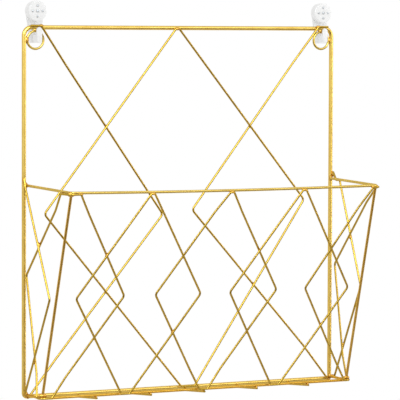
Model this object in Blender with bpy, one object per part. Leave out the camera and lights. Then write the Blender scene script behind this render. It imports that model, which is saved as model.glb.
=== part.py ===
"""Wall magazine rack of bent and welded wire, hung by two rings on two nail-on hooks.

Metres, +Z up, +X to the right seen from the front, the wall is the plane Y = 0 and the front
faces -Y. The origin lies on the wall at the middle of the rack, at the height of the hooks' centre pins.
"""

import math

import bmesh
import bpy
from mathutils import Matrix, Vector

# Wire sizes and the gap that welded pieces keep
FRAME_WIRE = 0.0040
BASKET_WIRE = 0.0026
PATTERN_WIRE = 0.0020
RING_WIRE = 0.0022
CONTACT_GAP = 0.0003

# Back frame, measured between wire centres
FRAME_WIDTH = 0.328
FRAME_HEIGHT = 0.340
FRAME_TOP_BEND = 0.0075
FRAME_FOOT_BEND = 0.003
FRAME_STANDOFF = 0.0065

# Basket: depths are from the frame's plane to the wire's centre
RIM_DROP = 0.1449
RIM_SAG = 0.0027
RIM_BOW = 0.0013
RIM_DEPTH = 0.0915
RIM_BEND = 0.003
RIM_INSET = 0.0036
BASE_DEPTH = 0.036
BASE_RISE = 0.002
BASE_INSET = 0.0012
BASE_BEND = 0.003
FLOOR_WIRES = 5
FLOOR_MARGIN = 0.051
FLOOR_SHIFT = 0.005
FLOOR_OVERHANG = 0.0012

# Diamond pattern
FRONT_BAYS = 4
FRONT_OVERLAP = 0.024
FRONT_LEFT_SHIFT = 0.0016
FRONT_CENTRE_SHIFT = 0.0035
FRONT_RIGHT_SHIFT = 0.0003
FRONT_VERTEX_SAG = 0.0018
CORNER_OVERLAP = 0.0258
CORNER_SHIFT = 0.003
SIDE_CLEARANCE = 0.0073
SIDE_DRIFT = 0.0037
SIDE_VERTEX_RISE = 0.014
APEX_FLAT = 0.0035
FOOT_FLAT = 0.0085
FOLD_FLAT = 0.005
LEFT_FOLD_FRONT = 0.009
LEFT_FOLD_SIDE = 0.015
LEFT_FOLD_FOOT = 0.009
FLAT_DROP = 0.0008
TIGHT_BEND = 0.002
VERTEX_BEND = 0.004
WEAVE_START = 0.2
REAR_FLAT_START = 0.009
REAR_FLAT_END = 0.016
REAR_FOOT_END = 0.008
REAR_LEFT_END = 0.0055
REAR_TAIL_RISE = 0.007
REAR_VERTEX_DROP = 0.0035
BACK_SIDE_CLEARANCE = 0.0254
BACK_SHIFT = -0.0062
BACK_FOOT_SHIFT = 0.006
BACK_FOOT_FLAT = 0.014
BACK_VERTEX_DROP = 0.1682
BACK_TILT = 0.0036
HALF_CENTRE_CLEARANCE = 0.0157
HALF_SHIFT = -0.0046
HALF_VERTEX_DROP = 0.1735
HALF_TILT = 0.0017
HALF_FLAT_START = 0.0055
HALF_FLAT_END = 0.016
HALF_FOOT_START = 0.0038
HALF_RIGHT_BOW = 0.0035
HALF_LIFT = 0.0016

# Hanging rings
RING_DIAMETER = 0.0185

# Nail-on hooks
HOOK_SHIFT = 0.0020
HOOK_RISE = 0.015
HOOK_DISC_DIAMETER = 0.0190
HOOK_DISC_THICKNESS = 0.0075
HOOK_EDGE = 0.0009
HOOK_PLATE = 0.0015
HOOK_PLATE_FOOT = 0.0100
HOOK_FIN_WIDTH = 0.0054
HOOK_FIN_HEIGHT = 0.0078
HOOK_NOSE = 0.0020
HOOK_NOSE_RISE = 0.0050
HOOK_CORNER = 0.0012
HOOK_EMBED = 0.0008
PIN_PITCH = 0.0050
PIN_DIAMETER = 0.0012
PIN_HEAD = 0.0020
PIN_CENTRE_HEAD = 0.0026
PIN_HEAD_HEIGHT = 0.0006
PIN_DEPTH = 0.006

GOLD = (0.80, 0.55, 0.20)
WHITE = (0.86, 0.86, 0.85)
STEEL = (0.42, 0.42, 0.43)

# Places that follow from the sizes above, in the rack's own frame: the origin is at the middle of
# the top bar, Y = 0 is the plane of the back frame
HALF_WIDTH = FRAME_WIDTH / 2
FRAME_SEAT = FRAME_WIRE / 2 + CONTACT_GAP + PATTERN_WIRE / 2
BASKET_SEAT = BASKET_WIRE / 2 + CONTACT_GAP + PATTERN_WIRE / 2
WEAVE_STEP = PATTERN_WIRE + CONTACT_GAP
RIM_HALF = HALF_WIDTH - RIM_INSET
RIM_REAR_Z = -RIM_DROP
RIM_FRONT_Z = RIM_REAR_Z - RIM_SAG
BASE_HALF = HALF_WIDTH - BASE_INSET
BASE_Z = -FRAME_HEIGHT + BASE_RISE
ARM_REAR = FRAME_WIRE / 2 + CONTACT_GAP
FRONT_RUN = math.hypot(RIM_DEPTH - BASE_DEPTH, RIM_FRONT_Z - BASE_Z)
FRONT_TOP = FLAT_DROP / FRONT_RUN
FRONT_FOOT = 1 - FLAT_DROP / FRONT_RUN
FRONT_VERTEX = 0.5 + FRONT_VERTEX_SAG / FRONT_RUN
RING_RADIUS = RING_DIAMETER / 2
RING_INNER = RING_RADIUS - RING_WIRE
RING_CENTRE = FRAME_WIRE / 2 + CONTACT_GAP + RING_RADIUS

# Each ring rests on the outer corner of its hook's fin, which stands a little off the ring's middle
FIN_CORNER = HOOK_FIN_WIDTH / 2 + abs(HOOK_SHIFT)
SEAT_DROP = RING_CENTRE - math.sqrt(RING_INNER**2 - FIN_CORNER**2)


def clear_scene():
    for obj in list(bpy.data.objects):
        bpy.data.objects.remove(obj, do_unlink=True)


def make_material(name, colour, metallic, roughness):
    material = bpy.data.materials.new(name)
    material.use_nodes = True
    shader = material.node_tree.nodes["Principled BSDF"]
    shader.inputs["Base Color"].default_value = (*colour, 1.0)
    shader.inputs["Metallic"].default_value = metallic
    shader.inputs["Roughness"].default_value = roughness
    return material


def link(obj, material, parent=None, location=(0.0, 0.0, 0.0)):
    bpy.context.scene.collection.objects.link(obj)
    obj.data.materials.clear()
    obj.data.materials.append(material)
    obj.parent = parent
    obj.location = location
    return obj


def bent(points, bends, closed):
    """Replaces each corner of a path by an arc of its own bend radius."""
    count = len(points)
    path = []
    for i, (corner, radius) in enumerate(zip(points, bends)):
        if radius == 0 or (not closed and i in (0, count - 1)):
            path.append(corner)
            continue
        back = (points[i - 1] - corner).normalized()
        ahead = (points[(i + 1) % count] - corner).normalized()
        turn = math.pi - back.angle(ahead)
        reach = radius * math.tan(turn / 2)
        centre = corner + (back + ahead).normalized() * (radius / math.cos(turn / 2))
        start = corner + back * reach - centre
        axis = back.cross(ahead).normalized()
        steps = max(2, math.ceil(math.degrees(turn) / 18))
        for step in range(steps + 1):
            path.append(centre + Matrix.Rotation(-turn * step / steps, 3, axis) @ start)
    return path


def wire(name, points, bends, diameter, material, closed=False, parent=None, location=(0, 0, 0), facets=2):
    """A round wire along a path with bent corners; facets 2 gives 8 sides, 4 gives 12."""
    path = bent([Vector(point) for point in points], bends, closed)
    curve = bpy.data.curves.new(name, "CURVE")
    curve.dimensions = "3D"
    curve.bevel_depth = diameter / 2
    curve.bevel_resolution = facets
    curve.use_fill_caps = True
    spline = curve.splines.new("POLY")
    spline.points.add(len(path) - 1)
    for point, place in zip(spline.points, path):
        point.co = (*place, 1.0)
    spline.use_cyclic_u = closed
    spline.use_smooth = True
    return link(bpy.data.objects.new(name, curve), material, parent, location)


def front_point(x, drop, outward):
    """A point on the leaning front panel: drop runs from 0 at the rim to 1 at the base."""
    rim = Vector((x, -RIM_DEPTH, RIM_FRONT_Z))
    base = Vector((x, -BASE_DEPTH, BASE_Z))
    slope = (base - rim).normalized()
    normal = Vector((0, slope.z, -slope.y))
    return rim.lerp(base, drop) + normal * outward


def rim_bow(x):
    """How far the front of the rim sags from the line between its corners, as a share of the panel."""
    return RIM_BOW / FRONT_RUN * (1 - (x / RIM_HALF) ** 2)


def side_point(side, depth, drop, outward):
    """A point on a side panel, which widens a little towards the base and towards the upright."""
    rim_x = BASE_HALF + (RIM_HALF - BASE_HALF) * depth / RIM_DEPTH
    x = rim_x + (BASE_HALF - rim_x) * drop + outward
    rim_z = RIM_REAR_Z - RIM_SAG * depth / RIM_DEPTH
    return Vector((side * x, -depth, rim_z + (BASE_Z - rim_z) * drop))


def corner_depth(drop):
    return RIM_DEPTH + (BASE_DEPTH - RIM_DEPTH) * drop


def back_point(x, z, forward):
    return Vector((x, -forward, z))


def woven(start, end, step):
    """A point part of the way down a leg, moved in behind the wires that it passes under."""
    return start.lerp(end, WEAVE_START) + step


def behind(first, vertex, last, step):
    """Two legs and their vertex, taken in behind the wires that they pass under."""
    return [first, woven(first, vertex, step), vertex + step, woven(last, vertex, step), last]


def make_frame(rack, gold):
    corners = [
        (-HALF_WIDTH, 0, 0),
        (HALF_WIDTH, 0, 0),
        (HALF_WIDTH, 0, -FRAME_HEIGHT),
        (-HALF_WIDTH, 0, -FRAME_HEIGHT),
    ]
    bends = [FRAME_TOP_BEND, FRAME_TOP_BEND, FRAME_FOOT_BEND, FRAME_FOOT_BEND]
    wire("back_frame", corners, bends, FRAME_WIRE, gold, closed=True, facets=4, **rack)


def make_back_pattern(rack, gold):
    reach = HALF_WIDTH - BACK_SIDE_CLEARANCE
    top = -FLAT_DROP
    foot = -FRAME_HEIGHT + FLAT_DROP
    diamond = [
        back_point(BACK_SHIFT - APEX_FLAT / 2, top, FRAME_SEAT),
        back_point(BACK_SHIFT + APEX_FLAT / 2, top, FRAME_SEAT),
        back_point(BACK_SHIFT + reach, -BACK_VERTEX_DROP + BACK_TILT, FRAME_SEAT),
        back_point(BACK_FOOT_SHIFT + BACK_FOOT_FLAT / 2, foot, FRAME_SEAT),
        back_point(BACK_FOOT_SHIFT - BACK_FOOT_FLAT / 2, foot, FRAME_SEAT),
        back_point(BACK_SHIFT - reach, -BACK_VERTEX_DROP - BACK_TILT, FRAME_SEAT),
    ]
    bends = [TIGHT_BEND, TIGHT_BEND, VERTEX_BEND, TIGHT_BEND, TIGHT_BEND, VERTEX_BEND]
    wire("back_diamond", diamond, bends, PATTERN_WIRE, gold, closed=True, **rack)

    step = Vector((0, WEAVE_STEP, 0))
    for side, label in ((-1, "left"), (1, "right")):
        start = back_point(side * (HALF_WIDTH - HALF_FLAT_START), HALF_LIFT, FRAME_SEAT)
        bend = back_point(side * (HALF_WIDTH - HALF_FLAT_END), HALF_LIFT, FRAME_SEAT)
        vertex_x = HALF_SHIFT + side * HALF_CENTRE_CLEARANCE
        vertex = back_point(vertex_x, -HALF_VERTEX_DROP + side * HALF_TILT, FRAME_SEAT)
        foot = back_point(side * (HALF_WIDTH - HALF_FOOT_START), -FRAME_HEIGHT, FRAME_SEAT)
        upper_end, upper, vertex, lower, foot = behind(bend, vertex, foot, step)
        # The lower leg of the right one bows out a little
        lower.x += HALF_RIGHT_BOW if side > 0 else 0
        points = [start, upper_end, upper, vertex, lower, foot]
        bends = [0, TIGHT_BEND, 0, VERTEX_BEND, 0, 0]
        wire(f"back_half_diamond_{label}", points, bends, PATTERN_WIRE, gold, **rack)


def make_basket(rack, gold):
    steps = 6
    places = [RIM_HALF * (2 * step / steps - 1) for step in range(steps + 1)]
    rim = [
        (-BASE_HALF, -ARM_REAR, RIM_REAR_Z),
        *(front_point(x, rim_bow(x), 0) for x in places),
        (BASE_HALF, -ARM_REAR, RIM_REAR_Z),
    ]
    bends = [0, RIM_BEND, *[0] * (steps - 1), RIM_BEND, 0]
    wire("basket_rim", rim, bends, BASKET_WIRE, gold, facets=3, **rack)
    base = [
        (-BASE_HALF, -ARM_REAR, BASE_Z),
        (-BASE_HALF, -BASE_DEPTH, BASE_Z),
        (BASE_HALF, -BASE_DEPTH, BASE_Z),
        (BASE_HALF, -ARM_REAR, BASE_Z),
    ]
    wire("basket_base_wire", base, [0, BASE_BEND, BASE_BEND, 0], BASKET_WIRE, gold, facets=3, **rack)

    # Each post stands between the bent corners of the rim and the base wire
    inset = 1 - math.sqrt(0.5)
    for side, label in ((-1, "left"), (1, "right")):
        top = Vector((side * (RIM_HALF - RIM_BEND * inset), -RIM_DEPTH + RIM_BEND * inset, RIM_FRONT_Z))
        foot = Vector((side * (BASE_HALF - BASE_BEND * inset), -BASE_DEPTH + BASE_BEND * inset, BASE_Z))
        run = foot - top
        lean = run.angle(Vector((0, 0, -1)))
        seat = (BASKET_WIRE / 2 + CONTACT_GAP) / math.cos(lean) + BASKET_WIRE / 2 * math.tan(lean)
        run.normalize()
        ends = [top + run * seat, foot - run * seat]
        wire(f"corner_post_{label}", ends, [0, 0], BASKET_WIRE, gold, facets=3, **rack)

    rear_z = -FRAME_HEIGHT - FRAME_SEAT
    front_z = BASE_Z - BASKET_SEAT
    pitch = (FRAME_WIDTH - 2 * FLOOR_MARGIN) / (FLOOR_WIRES - 1)
    for index in range(FLOOR_WIRES):
        x = FLOOR_SHIFT + (index - (FLOOR_WIRES - 1) / 2) * pitch
        rear = Vector((x, 0, rear_z))
        front = Vector((x, -BASE_DEPTH, front_z))
        run = (front - rear).normalized()
        ends = [rear - run * (FRAME_WIRE / 2), front + run * (BASKET_WIRE / 2 + FLOOR_OVERHANG)]
        wire(f"floor_wire_{index + 1}", ends, [0, 0], PATTERN_WIRE, gold, **rack)


def make_front_pattern(rack, gold):
    pitch = 2 * RIM_HALF / FRONT_BAYS
    reach = pitch / 2 + FRONT_OVERLAP
    step = front_point(0, 0, -WEAVE_STEP) - front_point(0, 0, 0)
    for label, x in (
        ("left", FRONT_LEFT_SHIFT - pitch),
        ("centre", FRONT_CENTRE_SHIFT),
        ("right", FRONT_RIGHT_SHIFT + pitch),
    ):
        # The middle one passes behind its neighbours
        hidden = label == "centre"
        top = FRONT_TOP + rim_bow(x)
        apex = [front_point(x + end * APEX_FLAT / 2, top, BASKET_SEAT) for end in (-1, 1)]
        feet = [front_point(x + end * FOOT_FLAT / 2, FRONT_FOOT, BASKET_SEAT) for end in (-1, 1)]
        sides = [front_point(x + end * reach, FRONT_VERTEX, BASKET_SEAT) for end in (-1, 1)]
        points, bends = [], []
        for end in (1, 0):
            corners = [apex[end], sides[end], feet[end]]
            radii = [TIGHT_BEND, VERTEX_BEND, TIGHT_BEND]
            if hidden:
                corners = behind(*corners, step)
                radii = [TIGHT_BEND, 0, VERTEX_BEND, 0, TIGHT_BEND]
            points += corners if end else reversed(corners)
            bends += radii
        wire(f"front_diamond_{label}", points, bends, PATTERN_WIRE, gold, closed=True, **rack)


def make_corner_pattern(rack, gold):
    """One diamond for each front corner, folded round the post, half on the front and half on the side."""
    pitch = 2 * RIM_HALF / FRONT_BAYS
    reach = pitch / 2 + CORNER_OVERLAP
    middle_half = (RIM_HALF + BASE_HALF) / 2
    fold_rim = RIM_BEND + BASKET_SEAT
    fold_base = BASE_BEND + BASKET_SEAT
    step = front_point(0, 0, -WEAVE_STEP) - front_point(0, 0, 0)
    left = (-1, "left", LEFT_FOLD_FRONT, LEFT_FOLD_SIDE, LEFT_FOLD_FOOT)
    right = (1, "right", FOLD_FLAT, FOLD_FLAT, FOLD_FLAT)
    for side, label, fold_front, fold_side, fold_foot in (left, right):
        inward = Vector((-side * WEAVE_STEP, 0, 0))
        front_top = front_point(side * (RIM_HALF - fold_front), FRONT_TOP, BASKET_SEAT)
        front_foot = front_point(side * (BASE_HALF - fold_foot), FRONT_FOOT, BASKET_SEAT)
        front_vertex = front_point(side * (middle_half - reach) + CORNER_SHIFT, FRONT_VERTEX, BASKET_SEAT)
        side_top = side_point(side, RIM_DEPTH - fold_side, FRONT_TOP, BASKET_SEAT)
        side_foot = side_point(side, BASE_DEPTH - FOLD_FLAT, FRONT_FOOT, BASKET_SEAT)
        side_top.z, side_foot.z = front_top.z, front_foot.z
        side_vertex = side_point(side, SIDE_CLEARANCE + side * SIDE_DRIFT, 0.5, BASKET_SEAT)
        side_vertex.z += SIDE_VERTEX_RISE
        points = [
            *behind(front_top, front_vertex, front_foot, step),
            Vector((side_foot.x, front_foot.y, front_foot.z)),
            *behind(side_foot, side_vertex, side_top, inward),
            Vector((side_top.x, front_top.y, front_top.z)),
        ]
        legs = [TIGHT_BEND, 0, VERTEX_BEND, 0, TIGHT_BEND]
        bends = [*legs, fold_base, *legs, fold_rim]
        wire(f"corner_diamond_{label}", points, bends, PATTERN_WIRE, gold, closed=True, **rack)


def make_side_pattern(rack, gold):
    """The half diamond behind each folded one, from the upright to the arms of the rim and the base."""
    run = (side_point(1, 0, 1, 0) - side_point(1, 0, 0, 0)).length
    top = FLAT_DROP / run
    foot = 1 - FLAT_DROP / run
    tail = FRAME_WIRE / 2 + CONTACT_GAP + PATTERN_WIRE / 2
    reach = corner_depth(0.5) - SIDE_CLEARANCE
    left = (-1, "left", REAR_LEFT_END, REAR_LEFT_END)
    right = (1, "right", REAR_FLAT_END, REAR_FOOT_END)
    for side, label, flat_end, foot_end in (left, right):
        points = [
            side_point(side, tail, top, BASKET_SEAT) + Vector((0, 0, REAR_TAIL_RISE)),
            side_point(side, flat_end, top, BASKET_SEAT),
            side_point(side, reach, 0.5, BASKET_SEAT) - Vector((0, 0, REAR_VERTEX_DROP)),
            side_point(side, foot_end, foot, BASKET_SEAT),
            side_point(side, tail, foot, BASKET_SEAT),
        ]
        bends = [0, TIGHT_BEND, VERTEX_BEND, TIGHT_BEND, 0]
        # A wire that leaves the upright at once has no length along the rim's arm
        if flat_end > REAR_FLAT_START:
            points.insert(1, side_point(side, REAR_FLAT_START, top, BASKET_SEAT))
            bends.insert(1, TIGHT_BEND)
        wire(f"side_half_diamond_{label}", points, bends, PATTERN_WIRE, gold, **rack)


def make_rings(rack, gold):
    radius = RING_RADIUS - RING_WIRE / 2
    steps = 24
    for side, label in ((-1, "left"), (1, "right")):
        centre = Vector((side * (HALF_WIDTH - RING_CENTRE), 0, -RING_CENTRE))
        points = []
        for step in range(steps):
            angle = 2 * math.pi * step / steps
            points.append(centre + Vector((math.sin(angle), 0, math.cos(angle))) * radius)
        wire(f"hanging_ring_{label}", points, [0] * steps, RING_WIRE, gold, closed=True, **rack)


def prism(outline, direction):
    """A closed solid: a flat outline carried along a direction."""
    mesh = bmesh.new()
    verts = [mesh.verts.new(point) for point in outline]
    face = mesh.faces.new(verts)
    extruded = bmesh.ops.extrude_face_region(mesh, geom=[face])
    moved = [item for item in extruded["geom"] if isinstance(item, bmesh.types.BMVert)]
    bmesh.ops.translate(mesh, verts=moved, vec=direction)
    bmesh.ops.recalc_face_normals(mesh, faces=mesh.faces)
    return mesh


def as_guide(name, mesh):
    data = bpy.data.meshes.new(name)
    mesh.to_mesh(data)
    mesh.free()
    guide = bpy.data.objects.new(name, data)
    guide.hide_render = True
    guide.display_type = "WIRE"
    bpy.context.scene.collection.objects.link(guide)
    return guide


def disc_mesh():
    """The round boss, turned from its rim profile, its back on the wall."""
    radius = HOOK_DISC_DIAMETER / 2
    profile = [
        (0, 0, 0),
        (radius, 0, 0),
        (radius, -(HOOK_DISC_THICKNESS - HOOK_EDGE), 0),
        (radius - HOOK_EDGE * 0.3, -(HOOK_DISC_THICKNESS - HOOK_EDGE * 0.3), 0),
        (radius - HOOK_EDGE, -HOOK_DISC_THICKNESS, 0),
        (0, -HOOK_DISC_THICKNESS, 0),
    ]
    mesh = bmesh.new()
    verts = [mesh.verts.new(point) for point in profile]
    edges = [mesh.edges.new(pair) for pair in zip(verts, verts[1:])]
    bmesh.ops.spin(
        mesh, geom=verts + edges, cent=(0, 0, 0), axis=(0, 1, 0), angle=2 * math.pi, steps=32, use_merge=True
    )
    bmesh.ops.remove_doubles(mesh, verts=mesh.verts, dist=0.00001)
    bmesh.ops.recalc_face_normals(mesh, faces=mesh.faces)
    return mesh


def hook_mesh():
    """One moulded hook: boss, back plate, and a fin with an upturned nose, drilled for five pins."""
    radius = HOOK_DISC_DIAMETER / 2
    fin_half = HOOK_FIN_WIDTH / 2
    notch_z = -HOOK_RISE - SEAT_DROP - CONTACT_GAP
    fin_foot = notch_z - HOOK_FIN_HEIGHT
    nose_rear = -FRAME_STANDOFF - FRAME_WIRE / 2 - CONTACT_GAP - HOOK_EMBED
    nose_front = nose_rear - HOOK_NOSE
    nose_top = notch_z + HOOK_NOSE_RISE

    # The plate's straight flanks leave the boss as tangents and close in towards the foot
    foot_half = HOOK_PLATE_FOOT / 2
    tilt = math.atan2(radius - foot_half, -fin_foot)
    shoulder = (radius * math.cos(tilt) - HOOK_EMBED / 4, -radius * math.sin(tilt))
    plate = [
        (-shoulder[0], 0, shoulder[1]),
        (shoulder[0], 0, shoulder[1]),
        (foot_half, 0, fin_foot),
        (-foot_half, 0, fin_foot),
    ]
    plate_guide = as_guide("hook_plate_guide", prism(plate, Vector((0, -HOOK_PLATE, 0))))

    # The fin's side view, with a rounded toe
    toe = []
    for step in range(5):
        angle = math.pi / 2 * step / 4
        y = nose_front + HOOK_CORNER * (1 - math.cos(angle))
        z = fin_foot + HOOK_CORNER * (1 - math.sin(angle))
        toe.append((-fin_half, y, z))
    lip = HOOK_CORNER * 0.5
    fin = [
        (-fin_half, -HOOK_PLATE / 2, notch_z),
        (-fin_half, nose_rear, notch_z),
        (-fin_half, nose_rear, nose_top - lip),
        (-fin_half, nose_rear - lip, nose_top),
        (-fin_half, nose_front + lip, nose_top),
        (-fin_half, nose_front, nose_top - lip),
        *toe,
        (-fin_half, -HOOK_PLATE / 2, fin_foot),
    ]
    fin_guide = as_guide("hook_fin_guide", prism(fin, Vector((HOOK_FIN_WIDTH, 0, 0))))

    hook = as_guide("hook_guide", disc_mesh())
    guides = [plate_guide, fin_guide]
    for guide in guides:
        joined = hook.modifiers.new(guide.name, "BOOLEAN")
        joined.operation = "UNION"
        joined.object = guide
    bore = PIN_DIAMETER / 2 + CONTACT_GAP
    for x, z in pin_places():
        drill = bmesh.new()
        turn = Matrix.Rotation(math.pi / 2, 4, "X")
        place = Matrix.Translation((x, -HOOK_DISC_THICKNESS / 2, z)) @ turn
        bmesh.ops.create_cone(
            drill,
            cap_ends=True,
            segments=12,
            radius1=bore,
            radius2=bore,
            depth=2 * HOOK_DISC_THICKNESS,
            matrix=place,
        )
        guide = as_guide("hook_drill_guide", drill)
        guides.append(guide)
        drilled = hook.modifiers.new(guide.name, "BOOLEAN")
        drilled.operation = "DIFFERENCE"
        drilled.object = guide
    bpy.context.view_layer.update()
    evaluated = hook.evaluated_get(bpy.context.evaluated_depsgraph_get())
    mesh = bpy.data.meshes.new_from_object(evaluated)
    mesh.name = "hook"
    for guide in (hook, *guides):
        bpy.data.objects.remove(guide, do_unlink=True)
    mesh.shade_smooth()
    mesh.set_sharp_from_angle(angle=math.radians(30))
    return mesh


def pin_places():
    """The centre pin first, then one to each side, one above and one below."""
    places = [(0.0, 0.0)]
    for quarter in range(4):
        angle = math.pi / 2 * quarter
        places.append((PIN_PITCH * math.cos(angle), PIN_PITCH * math.sin(angle)))
    return places


def pin_mesh(head):
    """A hardened pin with a low domed head, turned about its axis; its head sits just off the boss."""
    shank = PIN_DIAMETER / 2
    seat = -CONTACT_GAP
    profile = [
        (0, seat - PIN_HEAD_HEIGHT, 0),
        (head / 4, seat - PIN_HEAD_HEIGHT * 0.85, 0),
        (head / 2, seat - PIN_HEAD_HEIGHT * 0.3, 0),
        (head / 2, seat, 0),
        (shank, seat, 0),
        (shank, HOOK_DISC_THICKNESS + PIN_DEPTH - 2 * PIN_DIAMETER, 0),
        (0, HOOK_DISC_THICKNESS + PIN_DEPTH, 0),
    ]
    mesh = bmesh.new()
    verts = [mesh.verts.new(point) for point in profile]
    edges = [mesh.edges.new(pair) for pair in zip(verts, verts[1:])]
    bmesh.ops.spin(
        mesh, geom=verts + edges, cent=(0, 0, 0), axis=(0, 1, 0), angle=2 * math.pi, steps=10, use_merge=True
    )
    bmesh.ops.remove_doubles(mesh, verts=mesh.verts, dist=0.00001)
    bmesh.ops.recalc_face_normals(mesh, faces=mesh.faces)
    data = bpy.data.meshes.new("pin")
    mesh.to_mesh(data)
    mesh.free()
    data.shade_smooth()
    data.set_sharp_from_angle(angle=math.radians(40))
    return data


def make_hooks(white, steel):
    moulding = hook_mesh()
    pins = {PIN_CENTRE_HEAD: pin_mesh(PIN_CENTRE_HEAD), PIN_HEAD: pin_mesh(PIN_HEAD)}
    for side, label in ((-1, "left"), (1, "right")):
        hook = bpy.data.objects.new(f"hook_{label}", moulding)
        link(hook, white, location=(side * (HALF_WIDTH - RING_CENTRE) + HOOK_SHIFT, 0, 0))
        for index, (x, z) in enumerate(pin_places()):
            head = PIN_HEAD if index else PIN_CENTRE_HEAD
            pin = bpy.data.objects.new(f"hook_pin_{label}_{index + 1}", pins[head])
            link(pin, steel, parent=hook, location=(x, -HOOK_DISC_THICKNESS, z))


def main():
    clear_scene()
    gold = make_material("gold_wire", GOLD, 1.0, 0.25)
    white = make_material("white_plastic", WHITE, 0.0, 0.30)
    steel = make_material("pin_steel", STEEL, 1.0, 0.35)

    # The rack swings about the line where its two rings sit on the hooks
    pivot = bpy.data.objects.new("rack_pivot", None)
    bpy.context.scene.collection.objects.link(pivot)
    pivot.location = (0, -FRAME_STANDOFF, -HOOK_RISE - SEAT_DROP)
    rack = {"parent": pivot, "location": (0, 0, SEAT_DROP)}

    make_frame(rack, gold)
    make_back_pattern(rack, gold)
    make_basket(rack, gold)
    make_front_pattern(rack, gold)
    make_corner_pattern(rack, gold)
    make_side_pattern(rack, gold)
    make_rings(rack, gold)
    make_hooks(white, steel)


main()
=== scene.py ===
import math

import bmesh
import bpy
from mathutils import Matrix, Vector


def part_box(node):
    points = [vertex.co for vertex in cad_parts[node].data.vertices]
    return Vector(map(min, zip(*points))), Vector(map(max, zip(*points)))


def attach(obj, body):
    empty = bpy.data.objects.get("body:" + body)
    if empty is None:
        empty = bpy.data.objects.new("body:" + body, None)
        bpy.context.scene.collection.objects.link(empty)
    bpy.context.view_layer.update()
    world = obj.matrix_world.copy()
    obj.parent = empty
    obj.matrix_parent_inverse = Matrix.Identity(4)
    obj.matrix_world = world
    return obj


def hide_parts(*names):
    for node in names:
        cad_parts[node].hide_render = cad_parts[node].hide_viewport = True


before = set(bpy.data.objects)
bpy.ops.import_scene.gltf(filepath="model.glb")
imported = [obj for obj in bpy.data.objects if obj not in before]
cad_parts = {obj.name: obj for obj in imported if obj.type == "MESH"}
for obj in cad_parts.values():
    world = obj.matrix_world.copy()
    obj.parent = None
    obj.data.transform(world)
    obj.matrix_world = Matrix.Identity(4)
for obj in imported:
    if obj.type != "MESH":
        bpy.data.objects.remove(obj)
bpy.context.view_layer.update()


# Back frame
# One thick steel wire bent to a closed rectangle, with rounder bends at the top than at the foot.
# The other wires are welded to it, and the whole rack is then plated and lacquered in gold.

frame_low, frame_high = (Vector(corner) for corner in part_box("back_frame"))
frame_wire = frame_high.y - frame_low.y
frame_half = (frame_high.x - frame_low.x - frame_wire) / 2
frame_height = frame_high.z - frame_low.z - frame_wire
frame_top_bend = 0.0075
frame_foot_bend = 0.003
bend_steps = 8

# Places on the rack are given from the middle of the top bar
rack_top = Vector((0.0, (frame_low.y + frame_high.y) / 2, frame_high.z - frame_wire / 2))


def gold_lacquer(name, pale, deep, rough_low, rough_high):
    """Gold plating under a clear coat: drifts a little in tone, and carries the fine grain of drawn wire."""
    material = bpy.data.materials.new(name)
    material.use_nodes = True
    nodes, links = material.node_tree.nodes, material.node_tree.links
    shader = nodes["Principled BSDF"]
    shader.inputs["Metallic"].default_value = 1.0
    shader.inputs["Specular Tint"].default_value = (1.0, 0.85, 0.5, 1.0)
    shader.inputs["Coat Weight"].default_value = 0.1
    shader.inputs["Coat Roughness"].default_value = 0.12
    place = nodes.new("ShaderNodeTexCoord")

    drift = nodes.new("ShaderNodeTexNoise")
    drift.inputs["Scale"].default_value = 70.0
    drift.inputs["Detail"].default_value = 3.0
    tone = nodes.new("ShaderNodeValToRGB")
    tone.color_ramp.elements[0].position = 0.32
    tone.color_ramp.elements[0].color = (*deep, 1.0)
    tone.color_ramp.elements[1].position = 0.68
    tone.color_ramp.elements[1].color = (*pale, 1.0)
    links.new(place.outputs["Object"], drift.inputs["Vector"])
    links.new(drift.outputs["Fac"], tone.inputs["Fac"])
    links.new(tone.outputs["Color"], shader.inputs["Base Color"])

    grain = nodes.new("ShaderNodeTexNoise")
    grain.inputs["Scale"].default_value = 2600.0
    grain.inputs["Detail"].default_value = 2.0
    gloss = nodes.new("ShaderNodeMapRange")
    gloss.inputs["To Min"].default_value = rough_low
    gloss.inputs["To Max"].default_value = rough_high
    bump = nodes.new("ShaderNodeBump")
    bump.inputs["Strength"].default_value = 0.015
    bump.inputs["Distance"].default_value = 0.00005
    links.new(place.outputs["Object"], grain.inputs["Vector"])
    links.new(grain.outputs["Fac"], gloss.inputs["Value"])
    links.new(gloss.outputs["Result"], shader.inputs["Roughness"])
    links.new(grain.outputs["Fac"], bump.inputs["Height"])
    links.new(bump.outputs["Normal"], shader.inputs["Normal"])
    return material


# Every wire has the same gold plating, but each kind gets its own colour as painted shade: the thinner wires
# and those at the foot are painted deeper
wire_gloss = (0.27, 0.34)
frame_gold = gold_lacquer("gold_plated_wire", (0.70, 0.495, 0.121), (0.63, 0.42, 0.086), *wire_gloss)


def new_tree(name, sizes):
    """An empty Geometry Nodes tree with named inputs, and the nodes that it starts from and ends in."""
    tree = bpy.data.node_groups.new(name, "GeometryNodeTree")
    tree.interface.new_socket("Geometry", in_out="INPUT", socket_type="NodeSocketGeometry")
    for size, kind in sizes:
        tree.interface.new_socket(size, in_out="INPUT", socket_type=kind)
    tree.interface.new_socket("Geometry", in_out="OUTPUT", socket_type="NodeSocketGeometry")
    return tree, tree.nodes.new("NodeGroupInput"), tree.nodes.new("NodeGroupOutput")


def finish_tree(tree, mesh, given, result):
    """Ends a tree: real copies, smooth shading and the finish."""
    smooth = tree.nodes.new("GeometryNodeSetShadeSmooth")
    real = tree.nodes.new("GeometryNodeRealizeInstances")
    finish = tree.nodes.new("GeometryNodeSetMaterial")
    tree.links.new(mesh, real.inputs["Geometry"])
    tree.links.new(real.outputs["Geometry"], smooth.inputs["Geometry"])
    tree.links.new(smooth.outputs["Geometry"], finish.inputs["Geometry"])
    tree.links.new(given.outputs["Finish"], finish.inputs["Material"])
    tree.links.new(finish.outputs["Geometry"], result.inputs["Geometry"])


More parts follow.
